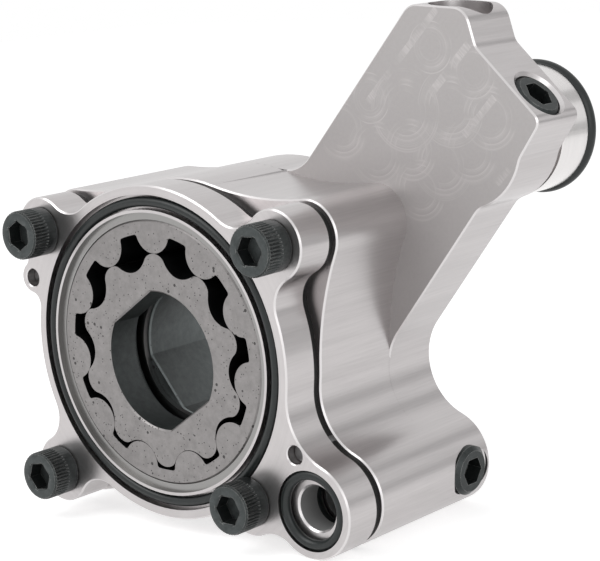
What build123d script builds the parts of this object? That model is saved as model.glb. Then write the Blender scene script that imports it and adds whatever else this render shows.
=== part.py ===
from build123d import *
from math import asin, atan2, cos, degrees, hypot, pi, radians, sin
import os

os.makedirs("parts", exist_ok=True)

# Frame: the pump axis is the Y axis and the front face lies at Y = 0, facing -Y.
# +X points to the side with the arm and +Z points up. Everything is in millimetres.

# Fits and edge breaks
SLIP = 0.05                    # play of rotors, rings and plates in their seats
CLEAR = 0.2                    # radial clearance of a screw in its hole
TINY = 0.001
EDGE = 0.3                     # machined edge break on the housings
FINE = 0.2                     # edge break on small turned parts

# Depths along the pump axis, measured from the front face
FRONT_DEPTH = 8.0              # feed housing
DIVIDER = 1.6                  # divider plate
SECTION_BACK = 30.0            # where the arm's front face lies
BACK = 43.0                    # rear face of the body and of the arm
RECESS = 0.7                   # rotor face below the front face
SHELF_DEPTH = 0.9              # narrow shelf between the rotors and the lip
SPLIT = FRONT_DEPTH + DIVIDER

# Gerotor: ten lobes inside eleven, the outer ring's centre lies above the drive axis
LOBES = 10
OFFSET = 1.6                   # distance between the two rotor centres
ARC_R = 4.3                    # radius of the outer ring's teeth
ROOT_FILLET = 0.6
MESH_GAP = 0.05                # play between the two tooth forms
DRIVE_R = 13.35                # round part of the two-flat drive bore
DRIVE_FLAT = 11.8              # flats, from the axis
FEED_TURN = -2.0               # turn of the feed rotors as shown
FEED_FLAT_TURN = 33.3          # direction of the feed rotor's drive flats
SCAV_FLAT_TURN = -53.0         # direction of the scavenge rotor's drive flats
SCAV_TURN = 7.0
SCAV_FRONT = 11.7              # where the scavenge rotors start
SCAV_LENGTH = 16.0
SCAV_BACK = SCAV_FRONT + SCAV_LENGTH - SLIP
CORE_STEPS = 12                # profile points on each lobe

# Front face rings, about the outer rotor's centre
RING_C = (0.0, OFFSET)
FLANGE_R = 32.1
RIM = 1.8                      # flange outside the seal groove
GROOVE_WIDTH = 2.85
GROOVE_DEPTH = 2.05
LIP = 0.6                      # thin wall between the groove and the rotors
SHELF = 1.45
FACE_SECTION = 1.9             # section of the face and port seal rings
GROOVE_OUT = FLANGE_R - RIM
GROOVE_IN = GROOVE_OUT - GROOVE_WIDTH
FACE_SEAL_R = GROOVE_OUT - GROOVE_WIDTH / 2 - SLIP
LIP_R = GROOVE_IN - LIP
RING_R = LIP_R - SHELF         # outside of the outer rotors
RING_WALL = 2.6
ROOT_R = RING_R - RING_WALL    # flat roots of the ring's pockets
ROOT_STEP = 0.6
ARC_PITCH = ROOT_R + ROOT_STEP  # distance of the teeth's arcs from the ring's centre

# Divider and separator between the two pairs of rotors
DIVIDER_INSET = 0.7
DIVIDER_BORE = 15.0
SEPARATOR_BORE = 13.9
SEPARATOR_SEAL = 0.9           # section of the ring behind the divider
SEPARATOR_STEP = 3.4           # from the rotors' bore in to that ring
SEPARATOR_SEAL_R = RING_R - SEPARATOR_STEP
TRANSFER_OUT = 7.0             # seat of the seal round the oil passage
TRANSFER_SINK = 1.0            # how far that seat goes into the front housing
TRANSFER_SECTION = DIVIDER + TRANSFER_SINK

# Screws, 1/4 inch
SCREWS = [(-28.7, 23.8), (31.1, 23.8), (-29.3, -24.4), (21.0, -24.4)]
SHANK_R = 3.175
HEAD_R = 4.7625
HEAD_H = 6.35
HEX_ACROSS = 4.9
HEX_TURNS = [8.0, 0.5, 9.0, -2.0]  # turn of each socket as shown
SCREW_LENGTH = 30.5
THREAD_RUNOUT = 1.0
HEX_DEPTH = 3.0
LUG_R = 6.6
REAR_LUG_R = 6.9
VALLEY_R = 6.0                 # hollows beside the front housing's lugs
WEB_R = 60.0                   # long hollows beside the rear housing's lugs
WAIST_R = 11.5                 # hollow above the port boss

# Dowels
DOWEL_ANGLES = [158.9, -25.9]  # about the outer rotors' centre
DOWEL_OUT = [2.95, 4.15]       # how far outside the flange circle they stand
DOWEL_R = 1.75
DOWEL_SUNK = 2.0
DOWEL_LENGTH = 15.0
EAR_R = 3.05
EAR_HOLLOW = 2.5               # hollows on both sides of the left dowel's ear

# Port boss
BOSS = (35.35, -24.3)
BOSS_R = 9.1
PORT_R = 4.2
PORT_EDGE = 0.35               # chamfer of the port at the bottom of its seat
PORT_SEAT_R = 7.55
PORT_SEAT_DEPTH = 1.95
PORT_END = 41.2

# Arm, on the X-Z plane: its outline runs from the top face round the bevel and the nose
ARM_LEFT_POINT = (15.7, 35.6)
ARM_LEFT_ANGLE = 47.5
ARM_RUN_IN = 16.0              # how far the left edge runs on into the body
ARM_LEFT_FILLET = 8.0
TOP_HOLE = (48.4, 63.0)        # centre of the hole in the top face
TOP_ANGLE = -5.0
TOP_RUN = 5.5
TOP_ROUND = 3.8
SHOULDER_ANGLE = -75.0
SHOULDER_RUN = 7.1
SHOULDER_ROUND = 3.0
BEVEL_ANGLE = -45.5
PLUG_RUN = 12.5                # along the bevel to its plug
BEVEL_RUN = 6.0                # from the plug to the nose
NOSE_ROUND = 2.0
NOSE_ANGLE = 54.0
NOSE_RUN = 10.5
LOW_REACH = 9.61               # from the spigot's axis square to the arm's lower edge
LOW_RUN = 36.0
SPIGOT = (51.9, 38.6)
HUB_R = 12.2
HUB_FILLET = 4.0

# Ports behind the scavenge rotors, as angles about the drive axis
KIDNEY_IN = 17.3
KIDNEY_OUT = 22.4
KIDNEY_FLOOR = 38.5
INLET_SPAN = (-30.0, 55.0)
OUTLET_SPAN = (125.0, 255.0)
SHAFT_BORE = 14.5

# Spigot
SPIGOT_R = 11.95
SPIGOT_BORE = 6.5
SPIGOT_SHANK = 8.4             # part of the tube that sits in the arm
SPIGOT_RELIEF_R = 11.2         # undercut beside the arm
SPIGOT_RELIEF = 1.1
SPIGOT_LIP_R = 10.9            # end of the tube behind the seal ring
SPIGOT_END = 56.2
SPIGOT_SEAT = 4.0
SEAL_Y = 54.05
SEAL_SECTION = 2.62
SEAL_PLAY = 0.1                # beside the ring in its groove
SEAL_GROOVE_R = 10.0

# Drillings and their plugs
PLUG_R = 4.8
PLUG_LENGTH = 5.0
PLUG_BREAK = 0.8               # bevel round a plug's outer face
PLUG_SEAT = 6.2                # depth of the plugs' threads
PLUG_HEX = 4.9
PLUG_HEX_DEPTH = 3.0
MOUTH_R = 5.4
TOP_MOUTH_R = 5.9
GALLERY_R = 4.0
GALLERY_Y = 36.4
ARM_DRILL = BEVEL_ANGLE - 90   # square to the bevel
ARM_SINK = 0.15
TOP_DRILL = TOP_ANGLE - 90     # square to the top face
TOP_GALLERY = 32.0
TOP_SINK = 3.0
BOSS_DRILL = 173.5             # rises towards the outlet port
BOSS_REACH = 4.4               # how far its gallery runs past the drive axis
BOSS_GALLERY = BOSS[0] + BOSS_R + BOSS_REACH
BOSS_GALLERY_R = 3.6
BOSS_GALLERY_Y = 36.9
BOSS_GALLERY_DROP = 0.9        # its mouth lies this far below the boss's centre
BOSS_SINK = -0.3               # this plug stands a little proud


def at(x, z):
    """Place something at x, z on the X-Z plane."""
    return Pos(x, z)


def slab(sketch, y0, y1):
    """Extrude a sketch, drawn as x, z, from depth y0 to y1."""
    flat = Plane.XZ * sketch
    return Pos(0, y1, 0) * extrude(flat, y1 - y0)


def rod(x, z, r, y0, y1):
    """Cylinder along the pump axis."""
    return slab(at(x, z) * Circle(r), y0, y1)


def ring(x, z, r_out, r_in, y0, y1):
    return slab(at(x, z) * (Circle(r_out) - Circle(r_in)), y0, y1)


def flare(x, z, r, y, size):
    """Countersink of a hole whose mouth lies at depth y."""
    cone = Cone(r, r + 2 * size, 2 * size, align=(Align.CENTER, Align.CENTER, Align.MIN))
    return Pos(x, y + size, z) * Rot(90, 0, 0) * cone


def torus_at(x, y, z, major, minor):
    return Pos(x, y, z) * Rot(90, 0, 0) * Torus(major, minor)


def polar(centre, r, angle):
    return (centre[0] + r * cos(angle), centre[1] + r * sin(angle))


def disc(centre, r):
    return at(*centre) * Circle(r)


def polygon(*pts):
    return make_face(Polyline(*pts, close=True))


def blend_centres(c1, r1, c2, r2, valley):
    """Centres of the two arcs of radius valley that touch both circles from outside."""
    d = hypot(c2[0] - c1[0], c2[1] - c1[1])
    ux, uz = (c2[0] - c1[0]) / d, (c2[1] - c1[1]) / d
    a = ((r1 + valley) ** 2 - (r2 + valley) ** 2 + d * d) / (2 * d)
    h = ((r1 + valley) ** 2 - a * a) ** 0.5
    foot = (c1[0] + a * ux, c1[1] + a * uz)
    return (foot[0] - h * uz, foot[1] + h * ux), (foot[0] + h * uz, foot[1] - h * ux)


def blend(c1, r1, c2, r2, valley):
    """Two round shapes joined by hollow arcs."""
    p, q = blend_centres(c1, r1, c2, r2, valley)
    bridge = polygon(c1, p, c2, q) - disc(p, valley) - disc(q, valley)
    return disc(c1, r1) + disc(c2, r2) + bridge


def wrap(c1, r1, c2, r2):
    """Two round shapes joined by straight tangents."""
    d = hypot(c2[0] - c1[0], c2[1] - c1[1])
    along = atan2(c2[1] - c1[1], c2[0] - c1[0])
    off = pi / 2 - atan2(r1 - r2, (d * d - (r1 - r2) ** 2) ** 0.5)
    corners = [
        polar(c1, r1, along + off),
        polar(c2, r2, along + off),
        polar(c2, r2, along - off),
        polar(c1, r1, along - off),
    ]
    return disc(c1, r1) + disc(c2, r2) + polygon(*corners)


def step(point, run, angle):
    """The point that lies run away from another, at an angle in degrees."""
    return polar(point, run, radians(angle))


def crossing(point, angle, centre, r):
    """Where a line from a point, at an angle in degrees, first meets a circle."""
    dx, dz = point[0] - centre[0], point[1] - centre[1]
    along = dx * cos(radians(angle)) + dz * sin(radians(angle))
    run = -along - (along ** 2 - dx ** 2 - dz ** 2 + r ** 2) ** 0.5
    return step(point, run, angle)


def waist_centre():
    """Centre of the hollow above the port boss."""
    return blend_centres(RING_C, FLANGE_R, BOSS, BOSS_R, WAIST_R)[0]


def low_angle():
    """Direction of the arm's lower edge, which leaves the waist and passes the spigot."""
    waist = waist_centre()
    dx, dz = SPIGOT[0] - waist[0], SPIGOT[1] - waist[1]
    return degrees(atan2(dz, dx) - asin((WAIST_R + LOW_REACH) / hypot(dx, dz)))


# Points that follow from the sizes above
ARM_LOW_ANGLE = low_angle()
DOWELS = [step(RING_C, FLANGE_R + out, angle) for out, angle in zip(DOWEL_OUT, DOWEL_ANGLES)]
TOP_RIGHT = step(TOP_HOLE, TOP_RUN, TOP_ANGLE)
SHOULDER = step(TOP_RIGHT, SHOULDER_RUN, SHOULDER_ANGLE)
BEVEL_POINT = step(SHOULDER, PLUG_RUN, BEVEL_ANGLE)
NOSE = step(BEVEL_POINT, BEVEL_RUN, BEVEL_ANGLE)
ARM_GALLERY = hypot(*BEVEL_POINT) - KIDNEY_IN
ARM_MOUTH = (BEVEL_POINT[0], GALLERY_Y, BEVEL_POINT[1])
TOP_MOUTH = (TOP_HOLE[0], GALLERY_Y, TOP_HOLE[1])
BOSS_MOUTH = (BOSS[0] + BOSS_R, BOSS_GALLERY_Y, BOSS[1] - BOSS_GALLERY_DROP)


def front_outline(inset=0.0):
    """Outline of the feed housing, with hollows between its lugs."""
    main = FLANGE_R - inset
    lug = LUG_R - inset
    shape = disc(RING_C, main)
    for screw in SCREWS:
        shape += blend(RING_C, main, screw, lug, VALLEY_R + inset)
    shape += blend(RING_C, main, BOSS, BOSS_R - inset, WAIST_R + inset)
    shape += blend(SCREWS[3], lug, BOSS, BOSS_R - inset, VALLEY_R + inset)
    shape += blend(RING_C, main, DOWELS[0], EAR_R - inset, EAR_HOLLOW + inset)
    shape += blend(SCREWS[0], lug, DOWELS[0], EAR_R - inset, EAR_HOLLOW + inset)
    return shape


def mid_outline():
    """Outline of the scavenge housing between the divider and the arm's face."""
    shape = disc(RING_C, FLANGE_R)
    for screw in SCREWS:
        shape += blend(RING_C, FLANGE_R, screw, REAR_LUG_R, WEB_R)
    shape += blend(RING_C, FLANGE_R, BOSS, BOSS_R, WAIST_R)
    shape += wrap(SCREWS[3], REAR_LUG_R, BOSS, BOSS_R)
    shape = shape - disc(waist_centre(), WAIST_R) + disc(DOWELS[0], EAR_R)
    ear = [v for v in shape.vertices() if abs(hypot(v.X - DOWELS[0][0], v.Y - DOWELS[0][1]) - EAR_R) < TINY]
    return fillet(ear, EAR_HOLLOW)


def meet(p, u, q, v):
    """Where the line through p along u crosses the line through q along v."""
    t = ((q[0] - p[0]) * v[1] - (q[1] - p[1]) * v[0]) / (u[0] * v[1] - u[1] * v[0])
    return (p[0] + t * u[0], p[1] + t * u[1])


def direction(angle):
    return (cos(radians(angle)), sin(radians(angle)))


def low_start():
    """Where the arm's lower edge leaves the hollow above the port boss."""
    return step(waist_centre(), WAIST_R, ARM_LOW_ANGLE + 90)


def arm_root():
    """Hollow corner between the body's round outline and the arm's left edge."""
    along = direction(ARM_LEFT_ANGLE)
    aside = direction(ARM_LEFT_ANGLE + 90)
    dx = ARM_LEFT_POINT[0] + ARM_LEFT_FILLET * aside[0] - RING_C[0]
    dz = ARM_LEFT_POINT[1] + ARM_LEFT_FILLET * aside[1] - RING_C[1]
    reach = FLANGE_R + ARM_LEFT_FILLET
    slope = dx * along[0] + dz * along[1]
    run = (slope ** 2 - dx ** 2 - dz ** 2 + reach ** 2) ** 0.5 - slope
    foot = step(ARM_LEFT_POINT, run, ARM_LEFT_ANGLE)
    centre = step(foot, ARM_LEFT_FILLET, ARM_LEFT_ANGLE + 90)
    touch = polar(RING_C, FLANGE_R, atan2(centre[1] - RING_C[1], centre[0] - RING_C[0]))
    root = step(ARM_LEFT_POINT, -ARM_RUN_IN, ARM_LEFT_ANGLE)
    return polygon(RING_C, touch, centre, foot, root) - disc(centre, ARM_LEFT_FILLET)


def arm_outline():
    """The broad arm, its bevel and the round hub at the spigot."""
    waist = waist_centre()
    touch = polar(RING_C, FLANGE_R, atan2(waist[1] - RING_C[1], waist[0] - RING_C[0]))
    root = step(ARM_LEFT_POINT, -ARM_RUN_IN, ARM_LEFT_ANGLE)
    top_left = meet(ARM_LEFT_POINT, direction(ARM_LEFT_ANGLE), TOP_HOLE, direction(TOP_ANGLE))
    nose_end = step(NOSE, -NOSE_RUN, NOSE_ANGLE)
    low_end = step(low_start(), LOW_RUN, ARM_LOW_ANGLE)
    plate = polygon((0, 0), root, top_left, TOP_RIGHT, SHOULDER, NOSE, nose_end, low_end, low_start(), touch)
    plate -= disc(waist, WAIST_R)
    plate = round_at(plate, top_left, TOP_ROUND)
    plate = round_at(plate, TOP_RIGHT, TOP_ROUND)
    plate = round_at(plate, SHOULDER, SHOULDER_ROUND)
    plate = round_at(plate, NOSE, NOSE_ROUND)
    return plate + disc(SPIGOT, HUB_R)


def round_at(sketch, point, r):
    """Fillet the corner of a sketch that lies nearest to a point."""
    target = Vector(point[0], point[1], 0)
    corner = min(sketch.vertices(), key=lambda v: (Vector(*v) - target).length)
    return fillet(corner, r)


def gerotor_core():
    """Ten-lobe profile: the path of one ring tooth's centre, moved in by its radius."""
    reach = ARC_R + MESH_GAP
    count = LOBES * CORE_STEPS
    pts = []
    for i in range(count):
        t = 2 * pi * i / count
        x = ARC_PITCH * cos(t) + OFFSET * cos((LOBES + 1) * t)
        z = ARC_PITCH * sin(t) + OFFSET * sin((LOBES + 1) * t)
        dx = -ARC_PITCH * sin(t) - OFFSET * (LOBES + 1) * sin((LOBES + 1) * t)
        dz = ARC_PITCH * cos(t) + OFFSET * (LOBES + 1) * cos((LOBES + 1) * t)
        size = hypot(dx, dz)
        pts.append((x - reach * dz / size, z + reach * dx / size))
    return Rot(0, 0, 90) * make_face(Spline(*pts, periodic=True))


def gerotor_pockets():
    """Eleven-pocket opening of the outer ring, about its own centre."""
    teeth = LOBES + 1
    shape = Circle(ROOT_R)
    for i in range(teeth):
        shape -= disc(polar((0, 0), ARC_PITCH, pi / 2 + 2 * pi * i / teeth), ARC_R)
    return fillet(shape.vertices(), ROOT_FILLET)


def drive_hole(turn):
    """Round hole with two flats."""
    return Rot(0, 0, turn) * (Circle(DRIVE_R) & Rectangle(3 * DRIVE_R, 2 * DRIVE_FLAT))


def edges_at(solid, y):
    return [e for e in solid.edges() if abs(e.bounding_box().min.Y - y) < TINY
            and abs(e.bounding_box().max.Y - y) < TINY]


def ends_within(solid, y0, y1, r):
    """End edges of a bore no wider than r about the pump axis."""
    found = []
    for y in (y0, y1):
        for e in edges_at(solid, y):
            mid = e.position_at(0.5)
            if hypot(mid.X, mid.Z) < r + TINY:
                found.append(e)
    return found


def inner_rotor(y0, y1, turn, flat_turn):
    profile = Rot(0, 0, turn) * gerotor_core() - drive_hole(flat_turn)
    rotor = slab(profile, y0, y1)
    return chamfer(ends_within(rotor, y0, y1, DRIVE_R), EDGE)


def outer_rotor(y0, y1, turn):
    profile = at(*RING_C) * (Circle(RING_R) - Rot(0, 0, turn * LOBES / (LOBES + 1)) * gerotor_pockets())
    rotor = slab(profile, y0, y1)
    rim = [e for e in edges_at(rotor, y0) + edges_at(rotor, y1)
           if e.geom_type == GeomType.CIRCLE and abs(e.radius - RING_R) < TINY]
    return chamfer(rim, EDGE)


def front_housing():
    body = slab(front_outline(), 0, FRONT_DEPTH)
    body = chamfer(edges_at(body, 0) + edges_at(body, FRONT_DEPTH), EDGE)
    body -= rod(*RING_C, RING_R + SLIP, -1, FRONT_DEPTH + 1)
    body -= rod(*RING_C, LIP_R, -1, SHELF_DEPTH)
    body -= ring(*RING_C, GROOVE_OUT, GROOVE_IN, -1, GROOVE_DEPTH)
    for x, z in SCREWS:
        body -= rod(x, z, SHANK_R + CLEAR, -1, FRONT_DEPTH + 1)
    for x, z in DOWELS:
        body -= rod(x, z, DOWEL_R, -1, FRONT_DEPTH + 1)
        body -= flare(x, z, DOWEL_R, 0, FINE)
    body -= rod(*BOSS, PORT_SEAT_R, -1, PORT_SEAT_DEPTH)
    body -= rod(*BOSS, PORT_R, -1, FRONT_DEPTH + 1)
    body -= flare(*BOSS, PORT_R, PORT_SEAT_DEPTH, PORT_EDGE)
    body -= rod(*BOSS, TRANSFER_OUT, FRONT_DEPTH - TRANSFER_SINK, FRONT_DEPTH + 1)
    return body


def divider_plate():
    plate = slab(front_outline(DIVIDER_INSET), FRONT_DEPTH, SPLIT)
    plate -= rod(0, 0, DIVIDER_BORE, FRONT_DEPTH - 1, SPLIT + 1)
    plate -= rod(*BOSS, TRANSFER_OUT, FRONT_DEPTH - 1, SPLIT + 1)
    for x, z in SCREWS:
        plate -= rod(x, z, SHANK_R + CLEAR, FRONT_DEPTH - 1, SPLIT + 1)
    for x, z in DOWELS:
        plate -= rod(x, z, DOWEL_R, FRONT_DEPTH - 1, SPLIT + 1)
    return plate


def kidney(low, high):
    """Curved port with round ends, between two angles about the drive axis."""
    mid_r = (KIDNEY_IN + KIDNEY_OUT) / 2
    half = (KIDNEY_OUT - KIDNEY_IN) / 2
    reach = 2 * KIDNEY_OUT
    steps = [radians(low + (high - low) * i / 4) for i in range(5)]
    fan = polygon((0, 0), *[polar((0, 0), reach, a) for a in steps])
    band = (Circle(KIDNEY_OUT) - Circle(KIDNEY_IN)) & fan
    return band + disc(polar((0, 0), mid_r, steps[0]), half) + disc(polar((0, 0), mid_r, steps[-1]), half)


def drilling(mouth, angle, r, start, length):
    """Cylinder that runs into the body from a mouth, at an angle in the X-Z plane."""
    way = Vector(cos(radians(angle)), 0, sin(radians(angle)))
    plane = Plane(origin=Vector(*mouth) + way * start, z_dir=way)
    return plane * Cylinder(r, length, align=(Align.CENTER, Align.CENTER, Align.MIN))


def mouth_cone(mouth, angle, r, depth):
    """Entry of a plug hole, countersunk down to the plug's size."""
    way = Vector(cos(radians(angle)), 0, sin(radians(angle)))
    plane = Plane(origin=Vector(*mouth) - way, z_dir=way)
    straight = plane * Cylinder(r, 1 + depth, align=(Align.CENTER, Align.CENTER, Align.MIN))
    seat = Plane(origin=Vector(*mouth) + way * depth, z_dir=way)
    cone = seat * Cone(r, PLUG_R, r - PLUG_R, align=(Align.CENTER, Align.CENTER, Align.MIN))
    return straight + cone


def rear_blank():
    """Solid outside of the scavenge housing and its arm."""
    mid_face = mid_outline()
    mid = slab(mid_face, SPLIT, SECTION_BACK)
    mid = chamfer(edges_at(mid, SPLIT), EDGE)
    back_face = mid_face + arm_outline() + arm_root()
    back_face = round_at(back_face, crossing(NOSE, NOSE_ANGLE + 180, SPIGOT, HUB_R), HUB_FILLET)
    back_face = round_at(back_face, crossing(low_start(), ARM_LOW_ANGLE, SPIGOT, HUB_R), HUB_FILLET)
    back = slab(back_face, SECTION_BACK, BACK)
    front_rim = []
    for e in edges_at(back, SECTION_BACK):
        p = e.position_at(0.5)
        if mid_face.distance_to(Vertex(p.X, p.Z, 0)) > EDGE:
            front_rim.append(e)
    back = chamfer(front_rim + edges_at(back, BACK), EDGE)
    return mid + back


def rear_housing():
    body = rear_blank()
    body -= rod(*RING_C, RING_R + SLIP, SPLIT - 1, SCAV_FRONT + SCAV_LENGTH)
    body -= rod(0, 0, SHAFT_BORE, SPLIT, BACK + 1)
    for low, high in (INLET_SPAN, OUTLET_SPAN):
        body -= slab(kidney(low, high), SCAV_FRONT, KIDNEY_FLOOR)
    for x, z in SCREWS:
        body -= rod(x, z, SHANK_R, SPLIT - 1, SCREW_LENGTH + THREAD_RUNOUT)
    for x, z in DOWELS:
        body -= rod(x, z, DOWEL_R, SPLIT - 1, DOWEL_SUNK + DOWEL_LENGTH)
    body -= rod(*BOSS, PORT_R, SPLIT - 1, PORT_END)
    body -= rod(*SPIGOT, SPIGOT_BORE, GALLERY_Y - GALLERY_R, BACK + 1)
    body -= rod(*SPIGOT, SPIGOT_SHANK, BACK - SPIGOT_SEAT, BACK + 1)
    body -= drilling(ARM_MOUTH, ARM_DRILL, GALLERY_R, 0, ARM_GALLERY)
    body -= drilling(ARM_MOUTH, ARM_DRILL, PLUG_R, 0, PLUG_SEAT)
    body -= mouth_cone(ARM_MOUTH, ARM_DRILL, MOUTH_R, 0)
    body -= drilling(TOP_MOUTH, TOP_DRILL, GALLERY_R, 0, TOP_GALLERY)
    body -= drilling(TOP_MOUTH, TOP_DRILL, PLUG_R, 0, TOP_SINK + PLUG_SEAT)
    body -= mouth_cone(TOP_MOUTH, TOP_DRILL, TOP_MOUTH_R, TOP_SINK)
    body -= drilling(BOSS_MOUTH, BOSS_DRILL, BOSS_GALLERY_R, 0, BOSS_GALLERY)
    body -= drilling(BOSS_MOUTH, BOSS_DRILL, PLUG_R, -1, 1 + PLUG_SEAT)
    body -= mouth_cone(BOSS_MOUTH, BOSS_DRILL, MOUTH_R, MOUTH_R - PLUG_R)
    return body


def inlet_spigot():
    """Turned tube with a ring groove, pressed into the arm."""
    tube = rod(*SPIGOT, SPIGOT_R, BACK + SPIGOT_RELIEF, SEAL_Y)
    tube += rod(*SPIGOT, SPIGOT_RELIEF_R, BACK, SEAL_Y)
    end = rod(*SPIGOT, SPIGOT_LIP_R, SEAL_Y, SPIGOT_END)
    tube += chamfer(edges_at(end, SPIGOT_END), EDGE)
    tube += rod(*SPIGOT, SPIGOT_SHANK, BACK - SPIGOT_SEAT, BACK)
    half = SEAL_SECTION / 2 + SEAL_PLAY
    tube -= ring(*SPIGOT, SPIGOT_R + 1, SEAL_GROOVE_R, SEAL_Y - half, SEAL_Y + half)
    tube -= rod(*SPIGOT, SPIGOT_BORE, BACK - SPIGOT_SEAT - 1, SPIGOT_END + 1)
    return tube


def cap_screw(x, z, turn):
    head = rod(x, z, HEAD_R, -HEAD_H, 0)
    head = chamfer(edges_at(head, -HEAD_H), 2 * FINE)
    head = chamfer(edges_at(head, 0), FINE)
    socket = Rot(0, 0, turn) * RegularPolygon(HEX_ACROSS / 2, 6, major_radius=False)
    head -= slab(at(x, z) * socket, -HEAD_H - 1, -HEAD_H + HEX_DEPTH)
    shank = rod(x, z, SHANK_R, 0, SCREW_LENGTH)
    shank = chamfer(edges_at(shank, SCREW_LENGTH), 2 * EDGE)
    return head + shank


def cap_screws():
    return Compound(children=[cap_screw(x, z, turn) for (x, z), turn in zip(SCREWS, HEX_TURNS)])


def dowel_pins():
    pins = []
    for x, z in DOWELS:
        pin = rod(x, z, DOWEL_R, DOWEL_SUNK, DOWEL_SUNK + DOWEL_LENGTH)
        ends = edges_at(pin, DOWEL_SUNK) + edges_at(pin, DOWEL_SUNK + DOWEL_LENGTH)
        pins.append(chamfer(ends, FINE))
    return Compound(children=pins)


def socket_plug(mouth, angle, sink):
    """Threaded plug with a hexagon socket, its face sunk below the mouth."""
    way = Vector(cos(radians(angle)), 0, sin(radians(angle)))
    plane = Plane(origin=Vector(*mouth) + way * sink, x_dir=(0, 1, 0), z_dir=way)
    body = Cylinder(PLUG_R, PLUG_LENGTH, align=(Align.CENTER, Align.CENTER, Align.MIN))
    ends = body.edges().filter_by(GeomType.CIRCLE).sort_by(Axis.Z)
    body = chamfer(ends[0], PLUG_BREAK)
    body = chamfer(body.edges().filter_by(GeomType.CIRCLE).sort_by(Axis.Z)[-1], EDGE)
    socket = RegularPolygon(PLUG_HEX / 2, 6, major_radius=False)
    body -= extrude(socket, PLUG_HEX_DEPTH)
    return plane * body


def separator_plate():
    plate = ring(*RING_C, RING_R, DIVIDER_BORE, SPLIT + SEPARATOR_SEAL, SCAV_FRONT - SLIP)
    return plate + ring(0, 0, DIVIDER_BORE + 2 * OFFSET, SEPARATOR_BORE, SPLIT + SEPARATOR_SEAL, SCAV_FRONT - SLIP)


parts = {
    "front_housing": front_housing(),
    "divider_plate": divider_plate(),
    "rear_housing": rear_housing(),
    "inlet_spigot": inlet_spigot(),
    "feed_inner_rotor": inner_rotor(RECESS, FRONT_DEPTH - SLIP, FEED_TURN, FEED_FLAT_TURN),
    "feed_outer_rotor": outer_rotor(RECESS, FRONT_DEPTH - SLIP, FEED_TURN),
    "scavenge_inner_rotor": inner_rotor(SCAV_FRONT, SCAV_BACK, SCAV_TURN, SCAV_FLAT_TURN),
    "scavenge_outer_rotor": outer_rotor(SCAV_FRONT, SCAV_BACK, SCAV_TURN),
    "separator_plate": separator_plate(),
    "separator_seal": torus_at(RING_C[0], SPLIT + SEPARATOR_SEAL / 2, RING_C[1], SEPARATOR_SEAL_R, SEPARATOR_SEAL / 2),
    "face_seal_ring": torus_at(RING_C[0], GROOVE_DEPTH - FACE_SECTION / 2, RING_C[1], FACE_SEAL_R, FACE_SECTION / 2),
    "port_seal_ring": torus_at(BOSS[0], PORT_SEAT_DEPTH - FACE_SECTION / 2, BOSS[1],
                               PORT_SEAT_R - SLIP - FACE_SECTION / 2, FACE_SECTION / 2),
    "transfer_seal": torus_at(BOSS[0], SPLIT - TRANSFER_SECTION / 2, BOSS[1],
                              TRANSFER_OUT - TRANSFER_SECTION / 2, TRANSFER_SECTION / 2),
    "spigot_seal_ring": torus_at(SPIGOT[0], SEAL_Y, SPIGOT[1], SEAL_GROOVE_R + SEAL_SECTION / 2, SEAL_SECTION / 2),
    "cap_screws": cap_screws(),
    "dowel_pins": dowel_pins(),
    "arm_side_plug": socket_plug(ARM_MOUTH, ARM_DRILL, ARM_SINK),
    "arm_top_plug": socket_plug(TOP_MOUTH, TOP_DRILL, TOP_SINK + TOP_MOUTH_R - PLUG_R),
    "boss_side_plug": socket_plug(BOSS_MOUTH, BOSS_DRILL, BOSS_SINK),
}

for name, shape in parts.items():
    export_step(shape, f"parts/{name}.step")
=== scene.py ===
from math import cos, pi, radians, sin

import bpy
from bpy.props import FloatProperty, FloatVectorProperty, IntProperty, PointerProperty
from mathutils import Matrix, Vector
from mathutils.geometry import area_tri


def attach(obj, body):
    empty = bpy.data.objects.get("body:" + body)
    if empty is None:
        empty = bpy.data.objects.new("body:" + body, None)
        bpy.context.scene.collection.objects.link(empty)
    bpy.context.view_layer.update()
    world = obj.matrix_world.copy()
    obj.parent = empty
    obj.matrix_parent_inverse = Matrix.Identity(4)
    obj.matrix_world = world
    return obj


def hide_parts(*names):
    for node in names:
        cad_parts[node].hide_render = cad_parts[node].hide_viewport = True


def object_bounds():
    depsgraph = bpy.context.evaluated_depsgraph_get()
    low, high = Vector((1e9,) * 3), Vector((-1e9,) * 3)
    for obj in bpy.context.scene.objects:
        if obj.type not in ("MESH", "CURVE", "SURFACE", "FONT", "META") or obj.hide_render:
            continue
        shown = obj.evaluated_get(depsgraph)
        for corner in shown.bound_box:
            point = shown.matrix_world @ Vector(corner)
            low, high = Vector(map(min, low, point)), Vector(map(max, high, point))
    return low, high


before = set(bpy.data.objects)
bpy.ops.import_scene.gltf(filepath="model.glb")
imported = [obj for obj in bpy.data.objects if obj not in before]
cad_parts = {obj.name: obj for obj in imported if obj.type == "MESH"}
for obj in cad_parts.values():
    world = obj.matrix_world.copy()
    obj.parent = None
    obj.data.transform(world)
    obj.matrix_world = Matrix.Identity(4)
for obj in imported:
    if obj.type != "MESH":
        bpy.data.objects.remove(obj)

bl_info = {
    "name": "Engine Oil Pump",
    "version": (1, 0, 0),
    "blender": (4, 5, 0),
    "location": "View3D > Sidebar > Oil Pump",
    "description": "Dresses the packed oil pump: housings, rotors, seals, screws, plugs and stage",
    "category": "Object",
}

MM = 0.001
CAD_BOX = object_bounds()
BODY = "pump_body"

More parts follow.
